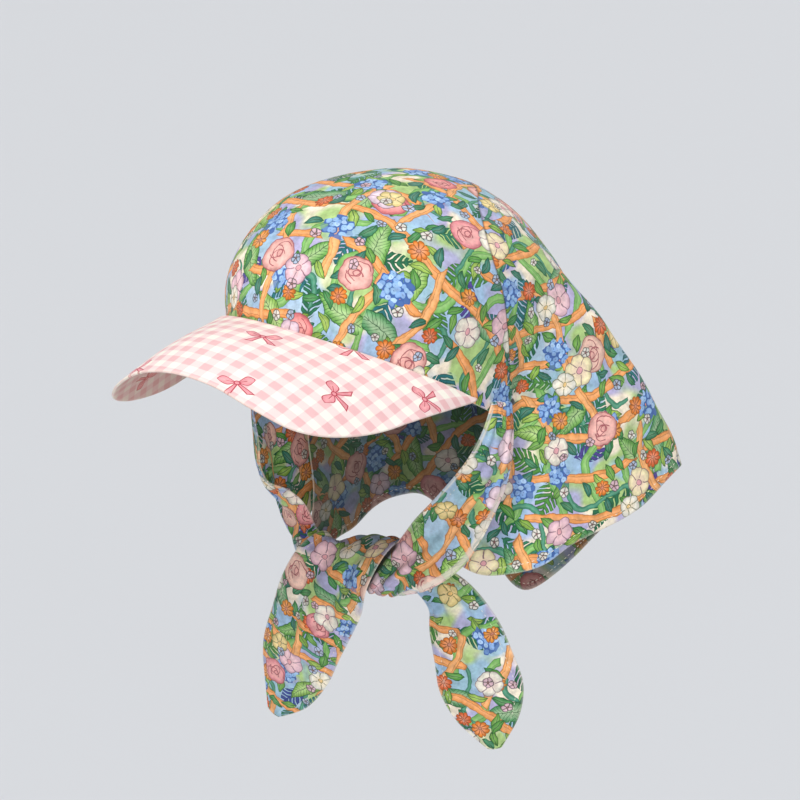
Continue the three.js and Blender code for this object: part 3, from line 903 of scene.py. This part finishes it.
def floral(paper, place):
    """The whole garden print: a watercolour ground, then ribbons, foliage and flowers over each other."""
    pic = Print(paper, place)
    _, shades = paper.noise(place, 30.0, 1.0)
    pic.colour = linear(GROUND_COLOUR)
    for amount, (colour, start) in zip(paper.split(shades), GROUND_SHADES):
        pic.colour = paper.mix(paper.step(amount, start, 0.09) * 0.85, pic.colour, linear(colour))
    pic.colour = paper.scale(pic.colour, pic.glow)
    sprigs(pic, (29.0, 3, 0.8, 12, 17, ("2f7d57", "5a9f48", "2e7f86", "3b8f6c")), 3.4, "1f4f38")
    sprigs(pic, (46.0, 4, 0.5, 11, 15, ("4457a8", "5f50a4", "3a7fc4")), 3.6, "2b3474")
    ribbons(pic, 0.9, 52.0, 5.0, 9.0, 64.0, 3, "7fbb62", "2f5a3c", 0.54)
    ribbons(pic, -0.9, 60.0, 3.2, 10.0, 52.0, 4, "4f9a7c", "24513f", 0.52)
    leaves(pic, (36.0, 5, 0.8, 15, 22, ("74b454", "93c45a", "5aa268")), 0.3, veins=5.0)
    ribbons(pic, -0.35, 46.0, 4.8, 3.5, 84.0, 1, "f4a35c", "8a4c26", 0.6)
    ribbons(pic, -1.75, 58.0, 4.6, 3.5, 70.0, 2, "f6ae6a", "8a4c26", 0.58)
    leaves(pic, (15.0, 6, 0.6, 5.0, 6.6, ("4b9a56", "78b250", "a9cc5c", "3a8672")), 0.4)
    leaves(pic, (16.0, 7, 0.6, 4.6, 6.2, ("62a84a", "94c04e", "4a946a", "3a8672")), 0.42)
    clusters(pic, 38.0, 8, 0.75, 8.5, 3.1, ("8fb8e2", "7faae0", "a7c8ec", "86acde"), "4668a8")
    blossom(pic, (27.0, 9, 0.6, 4.2, 5.8, ("ee862a", "f39c38", "e8692c")), 9, 0.3, "b8481c", "8a4f2c")
    rose(pic, (46.0, 10, 0.7, 8.0, 11.0, ("f3b0a8", "e98084", "f5c6b4", "ec939a")), "d4586c", "a04a55")
    pastels = ("f0c4d2", "f4eede", "eed4e4", "f6e8b8")
    blossom(pic, (44.0, 11, 0.75, 7.5, 10.0, pastels), 5, 0.2, "d87c96", "7a5a6a")
    blossom(pic, (48.0, 12, 0.5, 6.0, 8.0, ("f6f2e4", "f4dc94", "f6f2e4")), 6, 0.16, "e8b850", "6f7450")
    blossom(pic, (15.0, 13, 0.3, 2.3, 3.1, ("f8f4ea", "f2ccd8", "f8f4ea", "c4d6f0")), 5, 0.2, "8a3d50")
    return pic.colour


def nearest_of(pic, centres):
    """The place from the nearest of some centres, in that centre's own turn, and how far away it is."""
    paper = pic.paper
    nearest, far = None, None
    for x, y, turn in centres:
        offset = paper.turned(paper.vector("SUBTRACT", pic.place, (x, y, 0)), math.radians(-turn))
        away = paper.length(offset)
        if nearest is not None:
            offset = paper.mix(paper.math("LESS_THAN", away, far), nearest, offset)
            away = least(far, away)
        nearest, far = offset, away
    return nearest, far


def bows(pic, centres):
    """A small ribbon bow at each centre, given in millimetres of cloth with its turn: two loops that rise to
    the sides, two tails that hang and widen, and a knot."""
    paper = pic.paper
    nearest, far = nearest_of(pic, centres)
    x, y, _ = paper.split(nearest)
    side = abs(x)
    from_loop = abs(y - side * LOOP_SLOPE)
    run = paper.math("POWER", paper.math("MULTIPLY", side, 1 / LOOP_END, clamp=True), 1.3)
    loops = least(paper.math("SINE", run * math.pi) * LOOP_HIGH - from_loop, LOOP_END - 0.2 - side)
    tail = abs(side + y * TAIL_SLOPE) - paper.math("MULTIPLY_ADD", y, -0.16, 0.45)
    tails = least(y + TAIL_END, tail * -0.8, 0.2 - y)
    knot = KNOT - far
    crease = least(0.16 - from_loop, 4.4 - side, side - KNOT)
    lines = most(crease, 0.24 - abs(knot))
    pic.lay(most(loops, tails, knot), linear(BOW_FILL), lines, BOW_INK, 0.1, 1.0)


def gingham(paper, place, centres):
    """Pink and cream checks with small bows."""
    pic = Print(paper, place, CHECK_WOBBLE)
    across, down, _ = paper.split(pic.place)
    waves = (paper.math("SINE", axis * (math.tau / CHECK)) for axis in (across, down))
    first, second = (paper.step(wave, 0, CHECK_SOFT) for wave in waves)
    crossing = (first + second) * 0.5
    plain, single, double = (linear(colour) for colour in CHECK_COLOURS)
    pic.colour = paper.mix(paper.math("MULTIPLY", crossing, 2.0, clamp=True), plain, single)
    pic.colour = paper.mix(paper.step(crossing, 0.75, 0.5), pic.colour, double)
    bows(pic, centres)
    return pic.colour


def plain_material(name):
    """A new material, with its node tree and its shader."""
    material = bpy.data.materials.new(name)
    material.use_nodes = True
    return material, Paper(material.node_tree), material.node_tree.nodes["Principled BSDF"]


def cloth(name, draw, sheen, inner_shade):
    """A printed cotton: its print, with painted shade on its inner face and deep in folds and seams, pale at its
    edges, and its weave."""
    material, paper, shader = plain_material(name)
    place = paper.scale(paper.node("UVMap", uv_map="UVMap").outputs[0], 1000.0)
    tint, share = inner_shade
    # Painted shade on the inner face: a dark tint mixed in by the vertex attribute.
    colour = paper.mix(paper.attribute("inner_shade") * share, draw(paper, place), linear(tint))
    colour = paper.mix(paper.attribute("edge") * EDGE_SHARE, colour, linear(EDGE_COLOUR))
    # Painted shade deep in the knot's fold and along the back seam.
    colour = paper.mix(paper.attribute("deep") * PAINTED_SHADE_SHARE, colour, linear(PAINTED_SHADE_COLOUR))
    x, y, _ = paper.split(place)
    threads = paper.math("SINE", x * (math.tau / THREAD)) * paper.math("SINE", y * (math.tau / THREAD))
    crinkle, _ = paper.noise(place, CRINKLE_PITCH, 3.0)
    relief = paper.math("MULTIPLY_ADD", threads, WEAVE, crinkle)
    bump = paper.node("Bump", {"Height": relief, "Distance": 0.0007, "Strength": 0.6})
    roughness = paper.math("MULTIPLY_ADD", crinkle, 0.15, 0.76)
    paper.fill(shader, {"Base Color": colour, "Normal": bump.outputs[0], "Roughness": roughness})
    paper.fill(shader, {"Specular IOR Level": 0.25, "Sheen Weight": sheen, "Sheen Roughness": 0.5})
    return material


def thread(name, colour):
    """Twisted sewing thread."""
    material, paper, shader = plain_material(name)
    place = paper.scale(paper.node("TexCoord").outputs["Object"], 1000.0)
    tone, _ = paper.noise(place, 0.4, 2.0)
    tint = paper.scale(linear(colour), paper.math("MULTIPLY_ADD", tone, 0.3, 0.85))
    bump = paper.node("Bump", {"Height": tone, "Distance": 0.0001, "Strength": 0.5})
    paper.fill(shader, {"Base Color": tint, "Normal": bump.outputs[0], "Roughness": 0.7})
    return material


def hem_line(points, inset, edge):
    """A line of the cloth's middle surface that far inside one border of its grid, with its normals. edge is
    the border: low or high in the grid's first or second direction."""
    normals = -normals_of(points)
    if edge.startswith("first"):
        points, normals = points.swapaxes(0, 1), normals.swapaxes(0, 1)
    if edge.endswith("high"):
        points, normals = points[:, ::-1], normals[:, ::-1]
    away = np.cumsum(np.linalg.norm(np.diff(points, axis=1), axis=-1), axis=1)
    line, facing = [], []
    for column, run, n in zip(points, away, normals):
        # Where the cloth is too narrow for a hem, the line leaves a point out.
        if run[-1] > 2.5 * inset:
            row = np.interp(inset, np.concatenate([[0], run]), np.arange(len(column)))
            low = int(row)
            line.append(column[low] + (column[low + 1] - column[low]) * (row - low))
            facing.append(unit(n[low]))
    return np.array(line), np.array(facing)


def both_faces(line, normals):
    """The same line on the outer face and on the inner face."""
    half = COTTON / 2
    return [(line + normals * half, normals), (line - normals * half, -normals)]


def build_crown(material):
    round_, back = grid(*CROWN_GRID)
    points = crown_surface(round_, back)
    calm = np.sin(np.pi * round_) ** 0.5 * np.sin(np.pi * back) ** 0.5
    points = raised(points, CROWN_RIPPLE[0] * ripple(points, CROWN_RIPPLE[1], 1.0) * calm)
    points = turned_in(points, at_end=True)
    # Painted shade along the back seam.
    deep = padded(smooth((back - 1 + SEAM_SHADE) / SEAM_SHADE), 1, True)
    return shell("crown_cloth", points, COTTON, material, laid_flat(points, CROWN_LAY), deep=deep)


def build_visor():
    across, out = grid(*VISOR_GRID)
    points = visor_surface(across, out)
    thickness = BOARD + (BOARD_EDGE - BOARD) * smooth((out - 0.5) * 2)
    x, y = points[..., 0], points[..., 1]
    place = stack(x * (CHECK_MIDDLE + CHECK_CLOSE * x * x), y - CHECK_CURVE * x * x)
    column, row, turn = np.array(BOWS).T
    middles = at(place, column * VISOR_GRID[0], row * VISOR_GRID[1]) * 1000
    centres = [(*middle, angle) for middle, angle in zip(middles.tolist(), turn.tolist())]

    def draw(paper, spot):
        return gingham(paper, spot, centres)

    material = cloth("gingham_cotton", draw, 0.1, GINGHAM_INNER_SHADE)
    return shell("visor_board", points, thickness, material, place)


def build_kerchief(material):
    round_, down = grid(*KERCHIEF_GRID)
    points = kerchief_surface(round_, down)
    # The ripples die out towards the seam and the hem. The gathers wander, and some are left out.
    calm = smooth(down / 0.25) * smooth((1 - down) / 0.1)
    points = raised(points, KERCHIEF_RIPPLE[0] * ripple(points, KERCHIEF_RIPPLE[1], 2.0) * calm)
    wander = 0.5 + 0.5 * np.sin(17 * round_ + 1) * np.sin(5.3 * round_ + 2)
    pucker = np.sin(math.tau * GATHERS * round_ + 3 * np.sin(11 * round_)) * wander
    reach = smooth(down / 0.02) * np.exp(-down / GATHER_REACH)
    points = raised(points, GATHER_HEIGHT * pucker * reach)
    points = turned_in(points, at_end=False)
    # Painted shade along the back seam.
    deep = padded(smooth((SEAM_SHADE - down) / SEAM_SHADE), 1, False)
    place = laid_flat(points, KERCHIEF_LAY)
    return shell("kerchief_cloth", points, COTTON, material, place, deep=deep), points


def tie_shades(length, across, width, cheek):
    """Where the left tie's folded hems show pale along the cheek, and where painted shade darkens the fold in
    the knot.
    """
    from_back, from_front = across * width, (1 - across) * width
    lower = smooth(cheek * 3) * smooth((length - 0.1) / 0.05)
    upper = smooth((0.2 - length) / 0.04) * smooth(length / 0.02)
    in_knot = smooth((length - FOLD_FROM) / FOLD_FADE) * smooth((FOLD_TO - length) / FOLD_FADE)
    back_hem = smooth((HEM_BACK - from_back) / HEM_SOFT) * lower
    front_hem = smooth((HEM_FRONT - from_front) / HEM_SOFT) * upper
    return back_hem + front_hem, smooth((FOLD_SHADE - from_front) / FOLD_SOFT) * in_knot


def build_tie(name, rows, size, material, lay, wider, hems_and_shade):
    """A tie with fine creases, thicker where it is bunched up. The last argument says how strongly its pale hems
    and its painted shade show.
    """
    length, across = grid(*size)
    cheek = np.sin(np.pi * np.clip(length / STRAP, 0, 1) ** STRAP_LATE)
    points = tie_surface(rows, length, across, wider * cheek)
    width = along(rows, length)["width"]
    bunched = np.clip(1 - width / BUNCHED_BELOW, 0, 1)
    crease = np.sin(math.tau * CREASES * across + 5 * np.sin(7 * length)) * np.sin(np.pi * across) ** 0.5
    calm = np.sin(np.pi * length) ** 0.3
    points = raised(points, CREASE_HEIGHT * crease * (0.3 + 0.5 * bunched) * calm)
    points = turned_in(points.swapaxes(0, 1), at_end=False, side=-1).swapaxes(0, 1)
    # Pale folded hems, and painted shade in the knot's fold.
    pale, deep = (padded(hems_and_shade * shade, 0, False) for shade in tie_shades(length, across, width, cheek))
    thickness = COTTON + GATHERED * padded(bunched, 0, False)
    return shell(name, points, thickness, material, laid_flat(points, lay), 0.0, pale, deep), points


def build_cap():
    cotton = cloth("floral_cotton", floral, 0.12, FLORAL_INNER_SHADE)
    crown = build_crown(cotton)
    visor = build_visor()
    kerchief, kerchief_points = build_kerchief(cotton)
    left, left_points = build_tie("left_tie_cloth", LEFT_TIE, LEFT_GRID, cotton, LEFT_LAY, 0, HEM_AND_SHADE_STRENGTH)
    right, right_points = build_tie("right_tie_cloth", RIGHT_TIE, RIGHT_GRID, cotton, RIGHT_LAY, WIDER, 0)
    nodes = {"crown": crown, "visor": visor, "neck_kerchief": kerchief, "left_tie": left, "right_tie": right}
    for node, piece in nodes.items():
        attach(piece, "root")
        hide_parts(node)
        "gingham_cotton" if node == "visor" else "floral_cotton"
    seams = both_faces(*hem_line(kerchief_points, HEM_TURN, "second high"))
    for points in (left_points, right_points):
        for edge in ("second low", "second high"):
            seams += both_faces(*hem_line(points, HEM_TURN, edge))
        seams += both_faces(*hem_line(points, ALLOWANCE + HEM_TURN, "first low"))[:1]
    stitches = stitched("hem_stitches", seams, thread("sewing_thread", THREAD_COLOUR))
    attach(stitches, "root")


def build_stage():
    material, paper, shader = plain_material("pale_floor")
    paper.fill(shader, {"Base Color": linear(FLOOR_COLOUR), "Roughness": 0.9})
    corners = [(x * FLOOR_REACH, y * FLOOR_REACH, FLOOR) for x, y in ((-1, -1), (1, -1), (1, 1), (-1, 1))]
    floor = linked("floor", corners, [(0, 1, 2, 3)], material)

    world = bpy.data.worlds.new("studio")
    bpy.context.scene.world = world
    world.use_nodes = True
    sky = world.node_tree.nodes["Background"]
    sky.inputs["Color"].default_value = SKY_COLOUR
    sky.inputs["Strength"].default_value = WORLD_STRENGTH

    for name, way, width, strength in LIGHTS:
        lamp = bpy.data.lights.new(name, "SUN")
        lamp.energy = strength
        lamp.angle = math.radians(width)
        placed(name, lamp).rotation_euler = Vector(way).to_track_quat("Z", "Y").to_euler()
    bpy.context.scene.view_settings.view_transform = "Standard"


def build_camera():
    azimuth, elevation = math.radians(AZIMUTH), math.radians(ELEVATION)
    level = math.cos(elevation)
    back = Vector((math.sin(azimuth) * level, -math.cos(azimuth) * level, math.sin(elevation)))
    data = bpy.data.cameras.new("camera")
    data.lens = LENS
    camera = placed("camera", data)
    camera.location = TARGET + back * DISTANCE
    camera.rotation_euler = (-back).to_track_quat("-Z", "Y").to_euler()
    bpy.context.scene.camera = camera


build_camera()
build_cap()
build_stage()
bpy.context.view_layer.update()
